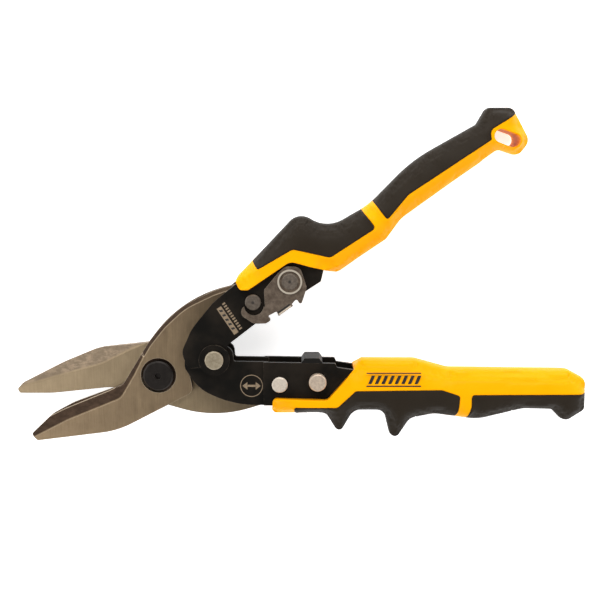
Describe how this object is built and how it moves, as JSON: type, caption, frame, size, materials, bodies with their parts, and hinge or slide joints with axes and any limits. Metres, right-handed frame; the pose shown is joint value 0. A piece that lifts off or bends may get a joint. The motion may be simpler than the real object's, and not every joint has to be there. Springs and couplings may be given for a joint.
{
  "type": "aviation snips",
  "caption": "Compound-action sheet metal snips with straight jaws, yellow and black grips, a latch, a spring and a wrist-cord slot.",
  "frame": {"origin": "on the blade pivot's axis, at the flush end of its bolt and nut, in the plane that the tool rests on when it lies on its back", "axes": "+Z along the blade pivot from its nut to its head, +X along the lower handle towards its end, +Y across the tool towards the upper handle; handles open"},
  "size_m": [0.263, 0.1522, 0.024],
  "materials": {
    "blade_steel": "ground steel with a warm grey-brown oxide tone",
    "black_handle_steel": "satin black powder coat",
    "yellow_grip_plastic": "satin moulded plastic",
    "black_grip_rubber": "matt soft-touch rubber",
    "black_bumper_rubber": "matt",
    "bright_rivet_steel": "bright turned steel",
    "dull_rivet_steel": "dull grey steel, centre-punched",
    "spacer_steel": "plain steel",
    "spring_steel": "oiled spring wire",
    "black_fastener_steel": "black oxide",
    "latch_steel": "warm grey pressed steel"
  },
  "bodies": {
    "lower_handle": {"lower_handle_frame": "black_handle_steel", "lower_grip_shell": "yellow_grip_plastic", "lower_front_pad": "black_grip_rubber", "lower_rear_pad": "black_grip_rubber", "lower_blade_pin": "bright_rivet_steel", "lower_pin_spacer": "spacer_steel", "lower_pin_washer": "spacer_steel", "hinge_bush": "spacer_steel", "return_spring": "spring_steel", "latch_catch_pin": "bright_rivet_steel", "handle_stop_bumper": "black_bumper_rubber"},
    "upper_handle": {"upper_handle_frame": "black_handle_steel", "upper_grip_shell": "yellow_grip_plastic", "upper_front_pad": "black_grip_rubber", "upper_rear_pad": "black_grip_rubber", "upper_blade_pin": "dull_rivet_steel", "upper_pin_spacer": "spacer_steel", "upper_pin_washer": "spacer_steel", "handle_pivot_rivet": "bright_rivet_steel", "latch_rivet": "dull_rivet_steel"},
    "front_blade": {"front_blade": "blade_steel", "pivot_bolt": "black_fastener_steel", "pivot_nut": "black_fastener_steel", "pivot_washer": "black_fastener_steel"},
    "rear_blade": {"rear_blade": "blade_steel"},
    "latch": {"latch_lever": "latch_steel"}
  },
  "joints": [
    {"name": "handle_squeeze", "type": "hinge", "parent": "lower_handle", "child": "upper_handle", "pos_m": [0.02612, 0.00813, 0.012], "axis": [0, 0, -1], "range_deg": [0, 35.5], "stiffness_Nm_per_rad": 1.6, "springref_deg": -17.19, "deforming": ["return_spring"]},
    {"name": "rear_blade_turn", "type": "hinge", "parent": "lower_handle", "child": "rear_blade", "pos_m": [0.05588, -0.00361, 0.012], "axis": [0, 0, -1], "range_deg": [0, 8.8]},
    {"name": "front_blade_turn", "type": "hinge", "parent": "upper_handle", "child": "front_blade", "pos_m": [0.04395, 0.03471, 0.012], "axis": [0, 0, 1], "range_deg": [0, 8.8]},
    {"name": "latch_swing", "type": "hinge", "parent": "upper_handle", "child": "latch", "pos_m": [0.0606, 0.0443, 0.012], "axis": [0, 0, 1], "range_deg": [0, 85.5]}
  ],
  "couplings": [
    {"joint": "rear_blade_turn", "follows": "handle_squeeze", "ratio": 0.24565},
    {"joint": "front_blade_turn", "follows": "handle_squeeze", "ratio": 0.24565}
  ]
}
